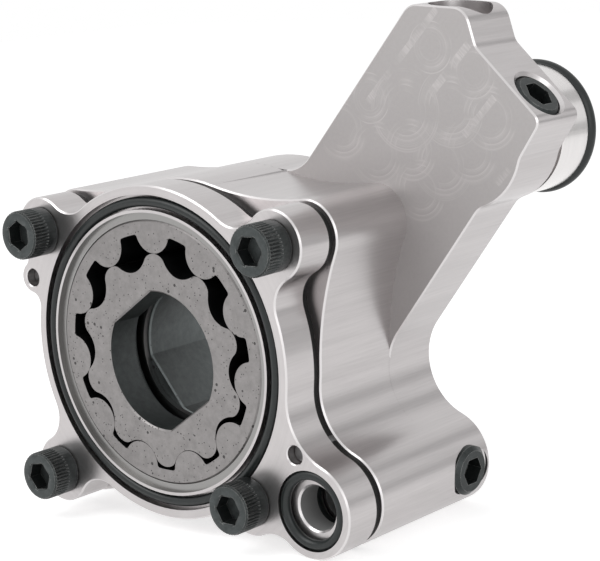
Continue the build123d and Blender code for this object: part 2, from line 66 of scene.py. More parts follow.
# Places of the pump's own features, in millimetres in the frame; axes along Y are given as x and z
DRIVE_AXIS = (0.0, 0.0)
RING_CENTRE = (0.0, 1.6)
PORT_AXIS = (35.35, -24.3)
HEAD_FRONT = -6.35             # front of the cap screws' heads
KNURLED = 0.55                 # how much of a head's height is knurled
SHARP_FROM = 32                # degrees between faces from which an edge of a screw stays sharp
BORE_REACH = 14.2              # the drive bores lie within this distance of the drive axis
PLATE_BORE_REACH = 20.0        # the divider's bore does within this one
REAR_ROTORS_FROM = 9.5         # depth behind which the faces belong to the rear pair of rotors

# Zones of the housings that are painted darker as shade: a radius and how deep it counts
SHELF_R = 26.9
SHELF_TO = 6.0
PORT_BORE_R = 4.25
PORT_TO = 42.0

# The arm's front face: its depth, its edge break, and the line and height past which its own edge lies
STEP_Y = 30.0
EDGE = 0.3
ARM_SIDE = (0.842, 0.539, 25.4)
ARM_FROM_Z = -3.0

# The groove that the flush copy closes: how far off a depth may be, the gap to its rim, the
# smallest area that a level face beside it keeps, and the one that any face keeps
SAME_DEPTH = 0.004
GROOVE_GAP = (0.2, 0.4)
LEVEL_AREA = 0.02
LEAST_AREA = 1e-6

# The cutter's marks on the arm's face, in millimetres: swirls as a centre and a reach, and hatched
# paths, turned by the path angle, as their ends along it, their middle across it and their half width
SWIRLS = (((45.8, 55.7), 5.0), ((54.9, 51.2), 5.5), ((39.2, 44.3), 8.0), ((24.0, 40.9), 6.5),
          ((53.3, 37.2), 6.5), ((41.5, 29.6), 6.0), ((49.5, 44.8), 7.5), ((32.0, 36.5), 7.0),
          ((47.0, 34.5), 7.0), ((31.0, 46.5), 5.0), ((58.0, 43.0), 6.0), ((40.0, 37.0), 6.0))
PATH_ANGLE = 44.5
PATHS = (((53.9, 77.8), 11.2, 0.7), ((65.3, 78.1), 2.0, 0.8),
         ((65.1, 75.0), -8.2, 0.7), ((63.8, 67.7), -18.8, 0.7))


# Node helpers

def link(tree, a, b):
    tree.links.new(a, b)


def node(tree, kind, **values):
    made = tree.nodes.new(kind)
    for key, value in values.items():
        setattr(made, key, value)
    return made


def math_node(tree, operation, a, b=None, clamp=False):
    made = node(tree, "ShaderNodeMath", operation=operation, use_clamp=clamp)
    for socket, value in zip(made.inputs, (a, b)):
        if value is None:
            continue
        if isinstance(value, (int, float)):
            socket.default_value = value
        else:
            link(tree, value, socket)
    return made.outputs[0]


def ramp(tree, value, stops):
    made = node(tree, "ShaderNodeValToRGB")
    points = made.color_ramp.elements
    while len(points) < len(stops):
        points.new(0.5)
    for point, (place, shade) in zip(points, stops):
        point.position = place
        point.color = (shade, shade, shade, 1.0)
    link(tree, value, made.inputs[0])
    return made.outputs[0]


def mix_colour(tree, mask, first, second, blend="MIX"):
    made = node(tree, "ShaderNodeMix", data_type="RGBA", blend_type=blend)
    for socket, value in ((made.inputs[0], mask), (made.inputs[6], first), (made.inputs[7], second)):
        if isinstance(value, (int, float)):
            socket.default_value = value
        elif isinstance(value, tuple):
            socket.default_value = (*value, 1.0)
        else:
            link(tree, value, socket)
    return made.outputs[2]


def scaled(tree, vector, scale):
    made = node(tree, "ShaderNodeMapping")
    made.inputs["Scale"].default_value = scale
    link(tree, vector, made.inputs["Vector"])
    return made.outputs[0]


def noise(tree, vector, scale, detail=2.0, roughness=0.5):
    made = node(tree, "ShaderNodeTexNoise")
    made.inputs["Scale"].default_value = scale
    made.inputs["Detail"].default_value = detail
    made.inputs["Roughness"].default_value = roughness
    link(tree, vector, made.inputs["Vector"])
    return made.outputs["Fac"]


def new_group(name, inputs, outputs):
    tree = bpy.data.node_groups.new(name, "ShaderNodeTree")
    for label, kind, default in inputs:
        socket = tree.interface.new_socket(name=label, in_out="INPUT", socket_type=kind)
        if default is not None:
            socket.default_value = default
    for label, kind in outputs:
        tree.interface.new_socket(name=label, in_out="OUTPUT", socket_type=kind)
    return tree, node(tree, "NodeGroupInput"), node(tree, "NodeGroupOutput")


def use_group(tree, name, **inputs):
    made = node(tree, "ShaderNodeGroup")
    made.node_tree = bpy.data.node_groups[name]
    for label, value in inputs.items():
        socket = made.inputs[label]
        if isinstance(value, (int, float, tuple)):
            socket.default_value = value
        else:
            link(tree, value, socket)
    return made


def coords(tree):
    return node(tree, "ShaderNodeTexCoord").outputs["Object"]


def facing(tree, axis):
    """How squarely the surface faces along an axis, forwards or backwards, 0 to 1."""
    local = node(tree, "ShaderNodeTexCoord")
    turn = node(tree, "ShaderNodeVectorMath", operation="DOT_PRODUCT")
    link(tree, local.outputs["Normal"], turn.inputs[0])
    turn.inputs[1].default_value = axis
    return math_node(tree, "ABSOLUTE", turn.outputs["Value"])


def bump(tree, height, strength, distance):
    made = node(tree, "ShaderNodeBump")
    made.inputs["Strength"].default_value = strength
    made.inputs["Distance"].default_value = distance
    link(tree, height, made.inputs["Height"])
    return made.outputs[0]


def shifted_by(tree, vector, centre):
    """The place seen from an axis along Y, in millimetres given as x and z."""
    made = node(tree, "ShaderNodeVectorMath", operation="SUBTRACT")
    link(tree, vector, made.inputs[0])
    made.inputs[1].default_value = (centre[0] * MM, 0.0, centre[1] * MM)
    return made.outputs[0]


def from_axis(tree, vector, centre):
    """Distance from an axis along Y."""
    flat = node(tree, "ShaderNodeVectorMath", operation="MULTIPLY")
    link(tree, shifted_by(tree, vector, centre), flat.inputs[0])
    flat.inputs[1].default_value = (1.0, 0.0, 1.0)
    size = node(tree, "ShaderNodeVectorMath", operation="LENGTH")
    link(tree, flat.outputs[0], size.inputs[0])
    return size.outputs["Value"]


def nearer(tree, vector, centre, reach):
    """1 within a distance of an axis along Y, in millimetres."""
    return math_node(tree, "LESS_THAN", from_axis(tree, vector, centre), reach * MM)


def rings_about(tree, vector, centre, scale):
    """Fine rings about an axis along Y, for turned and faced surfaces."""
    spread = node(tree, "ShaderNodeCombineXYZ")
    link(tree, from_axis(tree, vector, centre), spread.inputs[0])
    return noise(tree, spread.outputs[0], scale, 3.0, 0.7)


def within(tree, value, middle, half):
    """1 where a value lies within half of the middle, both in millimetres."""
    apart = math_node(tree, "ABSOLUTE", math_node(tree, "SUBTRACT", value, middle * MM))
    return math_node(tree, "LESS_THAN", apart, half * MM)


# Shared effects

def streaks_group():
    """Fine straight cutter lines along one axis, with broader bands under them."""
    tree, src, out = new_group("Cutter Lines", [
        ("Vector", "NodeSocketVector", None),
        ("Along", "NodeSocketVector", (1.0, 1.0, 1.0)),
    ], [("Lines", "NodeSocketFloat"), ("Bands", "NodeSocketFloat")])
    stretched = node(tree, "ShaderNodeVectorMath", operation="MULTIPLY")
    link(tree, src.outputs["Vector"], stretched.inputs[0])
    link(tree, src.outputs["Along"], stretched.inputs[1])
    link(tree, noise(tree, stretched.outputs[0], 2600.0, 3.0, 0.65), out.inputs["Lines"])
    link(tree, noise(tree, stretched.outputs[0], 420.0, 1.0, 0.5), out.inputs["Bands"])


def pits_group():
    """Small scattered pores."""
    tree, src, out = new_group("Pores", [
        ("Vector", "NodeSocketVector", None),
        ("Scale", "NodeSocketFloat", 1400.0),
        ("Size", "NodeSocketFloat", 0.2),
    ], [("Mask", "NodeSocketFloat")])
    cells = node(tree, "ShaderNodeTexVoronoi")
    link(tree, src.outputs["Vector"], cells.inputs["Vector"])
    link(tree, src.outputs["Scale"], cells.inputs["Scale"])
    near = math_node(tree, "LESS_THAN", cells.outputs["Distance"], src.outputs["Size"])
    pick = node(tree, "ShaderNodeSeparateColor")
    link(tree, cells.outputs["Color"], pick.inputs[0])
    rare = math_node(tree, "GREATER_THAN", pick.outputs[0], 0.55)
    link(tree, math_node(tree, "MULTIPLY", near, rare), out.inputs["Mask"])


def arm_face_group():
    """Marks of the cutter on the arm's front face: faint swirls and hatched paths."""
    tree, src, out = new_group("Arm Face", [("Vector", "NodeSocketVector", None)],
                               [("Zone", "NodeSocketFloat"), ("Marks", "NodeSocketFloat")])
    place = src.outputs["Vector"]
    apart = node(tree, "ShaderNodeSeparateXYZ")
    link(tree, place, apart.inputs[0])
    link(tree, within(tree, apart.outputs[1], STEP_Y, 0.5), out.inputs["Zone"])
    marks = math_node(tree, "MULTIPLY", noise(tree, place, 1500.0, 3.0, 0.75), 0.35)
    for centre, reach in SWIRLS:
        away = from_axis(tree, place, centre)
        spread = node(tree, "ShaderNodeCombineXYZ")
        link(tree, away, spread.inputs[0])
        thin = ramp(tree, noise(tree, spread.outputs[0], 2400.0, 3.0, 0.7), [(0.42, 0.0), (0.6, 1.0)])
        part = ramp(tree, noise(tree, shifted_by(tree, place, centre), 110.0, 2.0, 0.6),
                    [(0.38, 0.0), (0.56, 1.0)])
        near = ramp(tree, math_node(tree, "DIVIDE", away, reach * MM),
                    [(0.25, 0.0), (0.6, 1.0), (0.95, 1.0), (1.0, 0.0)])
        arc = math_node(tree, "MULTIPLY", math_node(tree, "MULTIPLY", thin, part), near)
        marks = math_node(tree, "MAXIMUM", marks, math_node(tree, "MULTIPLY", arc, 0.75))
    turned = node(tree, "ShaderNodeMapping")
    turned.inputs["Rotation"].default_value = (0.0, radians(PATH_ANGLE), 0.0)
    link(tree, place, turned.inputs["Vector"])
    along = node(tree, "ShaderNodeSeparateXYZ")
    link(tree, turned.outputs[0], along.inputs[0])
    teeth = noise(tree, scaled(tree, turned.outputs[0], (1.0, 0.0, 0.06)), 3400.0, 2.0, 0.7)
    fade = ramp(tree, noise(tree, place, 260.0, 2.0, 0.6), [(0.35, 0.2), (0.6, 1.0)])
    hatch = math_node(tree, "MULTIPLY", ramp(tree, teeth, [(0.35, 0.3), (0.65, 0.9)]), fade)
    for (first, last), across, half in PATHS:
        middle, span = (first + last) / 2, (last - first) / 2
        inside = math_node(tree, "MULTIPLY", within(tree, along.outputs[0], middle, span),
                           within(tree, along.outputs[2], across, half))
        marks = math_node(tree, "MAXIMUM", marks, math_node(tree, "MULTIPLY", inside, hatch))
    link(tree, marks, out.inputs["Marks"])


def edges_group():
    """Mask of convex edges, where handling rubs a finish away."""
    tree, src, out = new_group("Edge Wear", [
        ("Radius", "NodeSocketFloat", 0.0003),
        ("Gain", "NodeSocketFloat", 6.0),
    ], [("Mask", "NodeSocketFloat")])
    soft = node(tree, "ShaderNodeBevel", samples=4)
    link(tree, src.outputs["Radius"], soft.inputs["Radius"])
    geometry = node(tree, "ShaderNodeNewGeometry")
    turn = node(tree, "ShaderNodeVectorMath", operation="DOT_PRODUCT")
    link(tree, soft.outputs[0], turn.inputs[0])
    link(tree, geometry.outputs["Normal"], turn.inputs[1])
    bend = math_node(tree, "SUBTRACT", 1.0, turn.outputs["Value"])
    link(tree, math_node(tree, "MULTIPLY", bend, src.outputs["Gain"], clamp=True), out.inputs["Mask"])


# Finishes

def blank_material(name):
    material = bpy.data.materials.new(name)
    material.use_nodes = True
    tree = material.node_tree
    shader = tree.nodes["Principled BSDF"]
    return material, tree, shader


def dress(names, material):
    for name in names:
        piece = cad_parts[name]
        piece.data.materials.clear()
        piece.data.materials.append(material)


def milled_aluminium(finish):
    """Housing metal: cutter lines on the walls, faced fronts, a duller arm face, a painted highlight on the
    edge breaks, and painted shade in the recess round the rotors and inside the outlet port.
    """
    material, tree, shader = blank_material("milled aluminium")
    place = coords(tree)
    walls = use_group(tree, "Cutter Lines", Vector=place, Along=(1.0, 0.03, 1.0))
    square = facing(tree, (0.0, 1.0, 0.0))
    face = ramp(tree, square, [(0.85, 0.0), (0.95, 1.0)])
    # Painted highlight: the edge breaks, faces half turned along the axis, get a brighter colour
    edge = ramp(tree, square, [(0.35, 0.0), (0.6, 1.0), (0.8, 1.0), (0.9, 0.0)])
    marks = use_group(tree, "Arm Face", Vector=place)
    arm = math_node(tree, "MULTIPLY", face, marks.outputs["Zone"])
    faced = rings_about(tree, place, RING_CENTRE, 1400.0)
    grain = mix_colour(tree, face, walls.outputs["Lines"], faced)
    lines = ramp(tree, grain, [(0.25, 0.88), (0.75, 1.0)])
    broad = ramp(tree, mix_colour(tree, face, walls.outputs["Bands"], noise(tree, place, 160.0, 4.0, 0.6)),
                 [(0.3, 0.93), (0.7, 1.0)])
    shade = mix_colour(tree, 1.0, lines, broad, "MULTIPLY")
    colour = mix_colour(tree, 1.0, tuple(finish.aluminium), shade, "MULTIPLY")
    swirled = mix_colour(tree, marks.outputs["Marks"], tuple(finish.arm_face),
                         tuple(c * 1.4 for c in finish.arm_face))
    colour = mix_colour(tree, arm, colour, swirled)
    # Painted highlight on the edge breaks
    colour = mix_colour(tree, edge, colour, tuple(finish.edges))
    apart = node(tree, "ShaderNodeSeparateXYZ")
    link(tree, place, apart.inputs[0])
    # Painted shade in the recessed floor round the rotors
    shelf_shade = math_node(tree, "MULTIPLY", nearer(tree, place, RING_CENTRE, SHELF_R),
                      math_node(tree, "LESS_THAN", apart.outputs[1], SHELF_TO * MM))
    colour = mix_colour(tree, shelf_shade, colour, tuple(finish.shelf_shade))
    # Painted shade inside the outlet port: its walls become a flat grey non-metal
    port = math_node(tree, "MULTIPLY", nearer(tree, place, PORT_AXIS, PORT_BORE_R),
                     math_node(tree, "SUBTRACT", 1.0, edge))
    port = math_node(tree, "MULTIPLY", port, math_node(tree, "LESS_THAN", apart.outputs[1], PORT_TO * MM))
    colour = mix_colour(tree, port, colour, tuple(finish.port))
    link(tree, colour, shader.inputs["Base Color"])
    link(tree, math_node(tree, "SUBTRACT", 1.0, port), shader.inputs["Metallic"])
    dull = mix_colour(tree, arm, (finish.aluminium_roughness,) * 3, (0.5,) * 3)
    link(tree, mix_colour(tree, edge, dull, (0.28,) * 3), shader.inputs["Roughness"])
    height = mix_colour(tree, arm, grain, marks.outputs["Marks"])
    link(tree, bump(tree, height, 0.1, 0.00002), shader.inputs["Normal"])
    return material


def turned_aluminium(finish):
    """Bright lathe-turned metal of the spigot."""
    material, tree, shader = blank_material("turned aluminium")
    place = coords(tree)
    lines = noise(tree, scaled(tree, place, (0.02, 1.0, 0.02)), 3200.0, 2.0, 0.6)
    shade = ramp(tree, lines, [(0.3, 0.92), (0.7, 1.0)])
    link(tree, mix_colour(tree, 1.0, tuple(finish.turned), shade, "MULTIPLY"), shader.inputs["Base Color"])
    shader.inputs["Metallic"].default_value = 1.0
    shader.inputs["Roughness"].default_value = 0.22
    link(tree, bump(tree, lines, 0.1, 0.00002), shader.inputs["Normal"])
    return material


def dark_plate(finish):
    """Dark metal of the divider, with its bore in the painted shade of the rotors' drive bores."""
    material, tree, shader = blank_material("dark plate")
    place = coords(tree)
    lines = noise(tree, place, 900.0, 3.0, 0.6)
    shade = ramp(tree, lines, [(0.3, 0.8), (0.7, 1.0)])
    # Painted shade: the bore takes the drive bores' darker colour
    inner = nearer(tree, place, DRIVE_AXIS, PLATE_BORE_REACH)
    tone = mix_colour(tree, inner, tuple(finish.plate), tuple(finish.bore))
    link(tree, mix_colour(tree, 1.0, tone, shade, "MULTIPLY"), shader.inputs["Base Color"])
    shader.inputs["Metallic"].default_value = 1.0
    shader.inputs["Roughness"].default_value = 0.5
    return material


def sintered_iron(finish):
    """Rotor metal: ground faces dotted with pores; painted shade makes the teeth nearly black, the drive bore
    dark and the rear pair's faces as dark as the bore.
    """
    material, tree, shader = blank_material("sintered iron")
    place = coords(tree)
    fine = use_group(tree, "Pores", Vector=place, Scale=1500.0, Size=0.2)
    large = use_group(tree, "Pores", Vector=place, Scale=480.0, Size=0.15)
    pores = math_node(tree, "MAXIMUM", fine.outputs[0], large.outputs[0])
    mottle = ramp(tree, noise(tree, place, 700.0, 4.0, 0.7), [(0.3, 0.76), (0.7, 1.0)])
    # Painted shade: the rear pair's faces, deeper inside, take the drive bore's darker colour
    deep = node(tree, "ShaderNodeSeparateXYZ")
    link(tree, place, deep.inputs[0])
    rear = math_node(tree, "GREATER_THAN", deep.outputs[1], REAR_ROTORS_FROM * MM)
    ground = mix_colour(tree, rear, tuple(finish.sintered), tuple(finish.bore))
    colour = mix_colour(tree, 1.0, ground, mottle, "MULTIPLY")
    colour = mix_colour(tree, pores, colour, tuple(c * 0.25 for c in finish.sintered))
    # Painted shade on the side walls: nearly black on the teeth, dark in the drive bore
    teeth = math_node(tree, "GREATER_THAN", from_axis(tree, place, DRIVE_AXIS), BORE_REACH * MM)
    walls = mix_colour(tree, teeth, tuple(finish.bore), tuple(finish.teeth))
    walls = mix_colour(tree, 1.0, walls, mottle, "MULTIPLY")
    face = ramp(tree, facing(tree, (0.0, 1.0, 0.0)), [(0.5, 0.0), (0.7, 1.0)])
    link(tree, mix_colour(tree, face, walls, colour), shader.inputs["Base Color"])
    shader.inputs["Metallic"].default_value = 1.0
    shader.inputs["Roughness"].default_value = 0.45
    height = math_node(tree, "SUBTRACT", mottle, pores)
    link(tree, bump(tree, height, 0.3, 0.00003), shader.inputs["Normal"])
    return material


def ground_steel(finish):
    """Finely ringed steel of the separator and the pins."""
    material, tree, shader = blank_material("ground steel")
    lines = rings_about(tree, coords(tree), RING_CENTRE, 4000.0)
    shade = ramp(tree, lines, [(0.3, 0.85), (0.7, 1.0)])
    link(tree, mix_colour(tree, 1.0, tuple(finish.steel), shade, "MULTIPLY"), shader.inputs["Base Color"])
    shader.inputs["Metallic"].default_value = 1.0
    shader.inputs["Roughness"].default_value = 0.35
    return material


def black_oxide(finish):
    """Blackened steel with bare metal showing at rubbed edges, and a painted light that makes the faces along
    the axis lighter.
    """
    material, tree, shader = blank_material("black oxide steel")
    place = coords(tree)
    worn = use_group(tree, "Edge Wear", Radius=0.00018, Gain=finish.edge_wear)
    patch = ramp(tree, noise(tree, place, 900.0, 4.0, 0.7), [(0.4, 0.25), (0.65, 1.0)])
    mask = math_node(tree, "MULTIPLY", worn.outputs[0], patch)
    mottle = ramp(tree, noise(tree, place, 700.0, 5.0, 0.75), [(0.3, 0.65), (0.7, 1.2)])
    # Painted light: faces that look along the axis, such as the heads' fronts, are 1.6 times lighter
    front = ramp(tree, facing(tree, (0.0, 1.0, 0.0)), [(0.9, 0.0), (0.97, 1.0)])
    colour = mix_colour(tree, front, tuple(finish.black_oxide), tuple(c * 1.6 for c in finish.black_oxide))
    colour = mix_colour(tree, 1.0, colour, mottle, "MULTIPLY")
    link(tree, mix_colour(tree, mask, colour, (0.35, 0.35, 0.34)), shader.inputs["Base Color"])
    shader.inputs["Metallic"].default_value = 0.75
    shader.inputs["Roughness"].default_value = 0.38
    link(tree, bump(tree, noise(tree, place, 1800.0, 3.0, 0.6), 0.15, 0.00002), shader.inputs["Normal"])
    return material


def seal_rubber(finish):
    """Black rubber, slightly mottled."""
    material, tree, shader = blank_material("seal rubber")
    place = coords(tree)
    speck = noise(tree, place, 1500.0, 4.0, 0.7)
    shade = ramp(tree, speck, [(0.3, 0.75), (0.7, 1.1)])
    link(tree, mix_colour(tree, 1.0, tuple(finish.rubber), shade, "MULTIPLY"), shader.inputs["Base Color"])
    shader.inputs["Roughness"].default_value = 0.33
    shader.inputs["Specular IOR Level"].default_value = 0.38
    link(tree, bump(tree, speck, 0.12, 0.00002), shader.inputs["Normal"])
    return material


# Meshes

def at_depth(p, depth):
    """Whether a place lies at a depth given in millimetres."""
    return abs(p.y - depth * MM) <= SAME_DEPTH * MM


def nearest_on(edges, p):
    """The place on a set of edges that is nearest to p."""
    spots = []
    for a, b in edges:
        along = b - a
        spots.append(a + along * min(1.0, max(0.0, (p - a).dot(along) / along.length_squared)))
    return min(spots, key=lambda spot: (spot - p).length_squared)


def on_arm(p):
    """Whether a place on the outline belongs to the arm, whose own edge break stays."""
    return p.x * ARM_SIDE[0] + p.z * ARM_SIDE[1] > ARM_SIDE[2] * MM and p.z > ARM_FROM_Z * MM


def flush_housing():
    """Copy of the rear housing in which the wall runs flush past the depth of the arm's front face."""
    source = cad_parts["rear_housing"]
    shape = source.data
    places = [v.co.copy() for v in shape.vertices]
    rim = [(places[a], places[b]) for a, b in (e.vertices for e in shape.edges)
           if at_depth(places[a], STEP_Y + EDGE) and at_depth(places[b], STEP_Y + EDGE)]
    moved = set()
    for k, p in enumerate(places):
        if not at_depth(p, STEP_Y):
            continue
        near = nearest_on(rim, p)
        gap = ((near.x - p.x) ** 2 + (near.z - p.z) ** 2) ** 0.5
        if GROOVE_GAP[0] * MM < gap < GROOVE_GAP[1] * MM and not on_arm(near):
            moved.add(k)
            places[k] = Vector((near.x, p.y, near.z))
    if not moved:
        raise RuntimeError("the rear housing has no groove to close")
    faces, normals = [], []
    for face in shape.polygons:
        ends = [places[k] for k in face.vertices]
        level = all(at_depth(p, STEP_Y) for p in ends)
        beside = any(k in moved for k in face.vertices)
        area = sum(area_tri(ends[0], a, b) for a, b in zip(ends[1:], ends[2:]))
        if area < (LEVEL_AREA if level and beside else LEAST_AREA) * MM * MM:
            continue
        faces.append(tuple(face.vertices))
        for corner in face.loop_indices:
            way = shape.corner_normals[corner].vector.copy()
            if beside and not level:
                way.y = 0.0
            normals.append(way.normalized())
    made = bpy.data.meshes.new("rear_housing_flush")
    made.from_pydata(places, [], faces)
    made.shade_smooth()
    made.normals_split_custom_set(normals)
    piece = bpy.data.objects.new("rear_housing_flush", made)
    piece.matrix_world = source.matrix_world
    bpy.context.collection.objects.link(piece)
    return piece


def lathe(name, rows, steps, place):
    """Closed mesh from rows of (depth, radius function), bridged in order, capped at both ends."""
    verts, faces = [], []
    for depth, radius in rows:
        for k in range(steps):
            t = 2 * pi * k / steps
            r = radius(t)
            verts.append(place @ Vector((r * cos(t), depth, r * sin(t))))
    for row in range(len(rows) - 1):
        for k in range(steps):
            a = row * steps + k
            b = row * steps + (k + 1) % steps
            faces.append((a, b, b + steps, a + steps))
    for row, flip in ((0, False), (len(rows) - 1, True)):
        centre = len(verts)
        verts.append(place @ Vector((0.0, rows[row][0], 0.0)))
        for k in range(steps):
            a = row * steps + k
            b = row * steps + (k + 1) % steps
            faces.append((centre, a, b) if flip else (centre, b, a))
    mesh = bpy.data.meshes.new(name)
    mesh.from_pydata([v * MM for v in verts], [], faces)
    mesh.shade_smooth()
    mesh.set_sharp_from_angle(angle=radians(SHARP_FROM))
    mesh.update()
    piece = bpy.data.objects.new(name, mesh)
    bpy.context.collection.objects.link(piece)
    return piece


def round_row(r):
    """Radius function of a plain round row."""
    return lambda t: r


def hexagon(across, turn):
    """Radius of a hexagon with one corner at the turn angle."""
    def radius(t):
        u = (t - turn) % (pi / 3) - pi / 6
        return across / 2 / cos(u)
    return radius


def knurl(r, teeth, deep, blank=0.0):
    """Radius function of a knurled row; blank is the share of the depth that is left out."""
    def radius(t):
        wave = 0.5 - 0.5 * cos(t * teeth)
        return r - deep * (1 - blank) * (1 - wave) ** 1.5
    return radius


# Stage, in metres and degrees: half the floor, the pump's middle, and the lamps as name, place and size
FLOOR_HALF = 1.5
MIDDLE = (0.016, 0.026, 0.015)
LAMPS = (("key", (-0.25, -0.45, 0.55), 0.5), ("fill", (0.55, -0.25, 0.2), 0.4))

# Grey cards behind the pump: name, first and last angle about the pump's axis, shade
FLAGS = (("low flag", -6.0, 10.0, 0.62), ("high flag", 38.0, 56.0, 0.6))
FLAG_LEAN = (22.0, 64.0)       # from the pump's axis
FLAG_REACH = 0.45
FLAG_STEPS = 4

# Camera: azimuth, elevation and roll, focal length, shift and place
VIEW_TURNS = (40.613, 10.219, -4.088)
LENS = 120.274
SHIFT = (-0.0215, 0.0034)
CAMERA_PLACE = (0.263107, -0.260349, 0.079588)


# Settings

class PumpFinish(bpy.types.PropertyGroup):
    aluminium: FloatVectorProperty(name="Aluminium", description="Colour of the housings", subtype="COLOR",
                                   default=(0.555, 0.53, 0.53), min=0.0, max=1.0)
    arm_face: FloatVectorProperty(name="Arm Face", description="Colour of the arm's duller front face",
                                  subtype="COLOR", default=(0.385, 0.368, 0.366), min=0.0, max=1.0)
    # Painted highlight: the brighter colour of the edge breaks
    edges: FloatVectorProperty(name="Edges", description="Colour of the bright edge breaks", subtype="COLOR",
                               default=(0.63, 0.61, 0.61), min=0.0, max=1.0)
    # Painted shade of the recessed floor round the rotors
    shelf_shade: FloatVectorProperty(name="Shelf", description="Colour of the shelf round the rotors",
                               subtype="COLOR", default=(0.28, 0.275, 0.27), min=0.0, max=1.0)
    # Painted shade: the flat grey of the walls inside the outlet port
    port: FloatVectorProperty(name="Port Bore", description="Colour inside the outlet port", subtype="COLOR",
                              default=(0.30, 0.30, 0.30), min=0.0, max=1.0)
    aluminium_roughness: FloatProperty(name="Aluminium Roughness", description="How matt the milled metal is",
                                       default=0.3, min=0.05, max=1.0)
    turned: FloatVectorProperty(name="Turned Metal", description="Colour of the spigot", subtype="COLOR",
                                default=(0.72, 0.70, 0.695), min=0.0, max=1.0)
    plate: FloatVectorProperty(name="Dark Plate", description="Colour of the divider plate", subtype="COLOR",
                               default=(0.03, 0.03, 0.03), min=0.0, max=1.0)
    sintered: FloatVectorProperty(name="Sintered Iron", description="Colour of the rotors", subtype="COLOR",
                                  default=(0.295, 0.282, 0.279), min=0.0, max=1.0)
    # Painted shade: the nearly black colour of the rotors' teeth
    teeth: FloatVectorProperty(name="Teeth", description="Colour of the rotors' teeth", subtype="COLOR",
                               default=(0.04, 0.042, 0.042), min=0.0, max=1.0)
    # Painted shade inside the drive bores, also used on the rear rotors' faces and in the divider's bore
    bore: FloatVectorProperty(name="Drive Bore", description="Colour inside the rotors' drive bores",
                              subtype="COLOR", default=(0.16, 0.175, 0.175), min=0.0, max=1.0)
    steel: FloatVectorProperty(name="Ground Steel", description="Colour of the separator and pins",
                               subtype="COLOR", default=(0.16, 0.16, 0.16), min=0.0, max=1.0)
    black_oxide: FloatVectorProperty(name="Black Oxide", description="Colour of the screws and plugs",
                                     subtype="COLOR", default=(0.04, 0.045, 0.045), min=0.0, max=1.0)
    rubber: FloatVectorProperty(name="Rubber", description="Colour of the seal rings", subtype="COLOR",
                                default=(0.018, 0.022, 0.022), min=0.0, max=1.0)
    edge_wear: FloatProperty(name="Edge Wear", description="How much bare metal shows at the screws' edges",
                             default=9.0, min=0.0, max=20.0)


class PumpScrews(bpy.types.PropertyGroup):
    head_radius: FloatProperty(name="Head Radius", description="Outside of the cap screws' heads, in mm",
                               default=4.76, min=1.0, max=20.0)
    shank_radius: FloatProperty(name="Shank Radius", description="Outside of the threaded part, in mm",
                                default=3.17, min=0.5, max=15.0)
    length: FloatProperty(name="Length", description="From under the head to the tip, in mm",
                          default=30.5, min=5.0, max=80.0)
    teeth: IntProperty(name="Knurl Teeth", description="Ridges round each head", default=44, min=12, max=90)
    knurl_depth: FloatProperty(name="Knurl Depth", description="Depth of the grooves between ridges, in mm",
                               default=0.3, min=0.0, max=1.0)
    socket: FloatProperty(name="Socket", description="Across the flats of the hexagon socket, in mm",
                          default=5.05, min=1.0, max=12.0)
    socket_depth: FloatProperty(name="Socket Depth", description="Depth of the hexagon socket, in mm",
                                default=3.0, min=0.5, max=8.0)


class PumpStage(bpy.types.PropertyGroup):
    key: FloatProperty(name="Key", description="Power of the large soft light, in watts",
                       default=2.0, min=0.0)
    fill: FloatProperty(name="Fill", description="Power of the fill light, in watts", default=0.6, min=0.0)
    world: FloatProperty(name="World", description="Strength of the surrounding light", default=0.55, min=0.0)
    flags: FloatProperty(name="Flags", description="Brightness of the grey cards behind the pump",
                         default=1.0, min=0.0)


class PUMP_OT_housings(bpy.types.Operator):
    """Give the housings, plates and spigot their metal finishes"""
    bl_idname = "pump.housings"
    bl_label = "Finish Housings"

    def execute(self, context):
        finish = context.scene.pump_finish
        streaks_group()
        arm_face_group()
        metal = milled_aluminium(finish)
        dress(["front_housing", "rear_housing"], metal)
        housing = flush_housing()
        housing.data.materials.append(metal)
        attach(housing, BODY)
        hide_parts("rear_housing")
        dress(["inlet_spigot"], turned_aluminium(finish))
        dress(["divider_plate"], dark_plate(finish))
        dress(["separator_plate", "dowel_pins"], ground_steel(finish))
        return {"FINISHED"}


class PUMP_OT_rotors(bpy.types.Operator):
    """Give both pairs of rotors their sintered finish"""
    bl_idname = "pump.rotors"
    bl_label = "Finish Rotors"

    def execute(self, context):
        pits_group()
        names = ["feed_inner_rotor", "feed_outer_rotor", "scavenge_inner_rotor", "scavenge_outer_rotor"]
        dress(names, sintered_iron(context.scene.pump_finish))
        return {"FINISHED"}


class PUMP_OT_seals(bpy.types.Operator):
    """Give every seal ring its rubber"""
    bl_idname = "pump.seals"
    bl_label = "Finish Seals"

    def execute(self, context):
        names = ["face_seal_ring", "port_seal_ring", "spigot_seal_ring", "transfer_seal", "separator_seal"]
        dress(names, seal_rubber(context.scene.pump_finish))
        return {"FINISHED"}


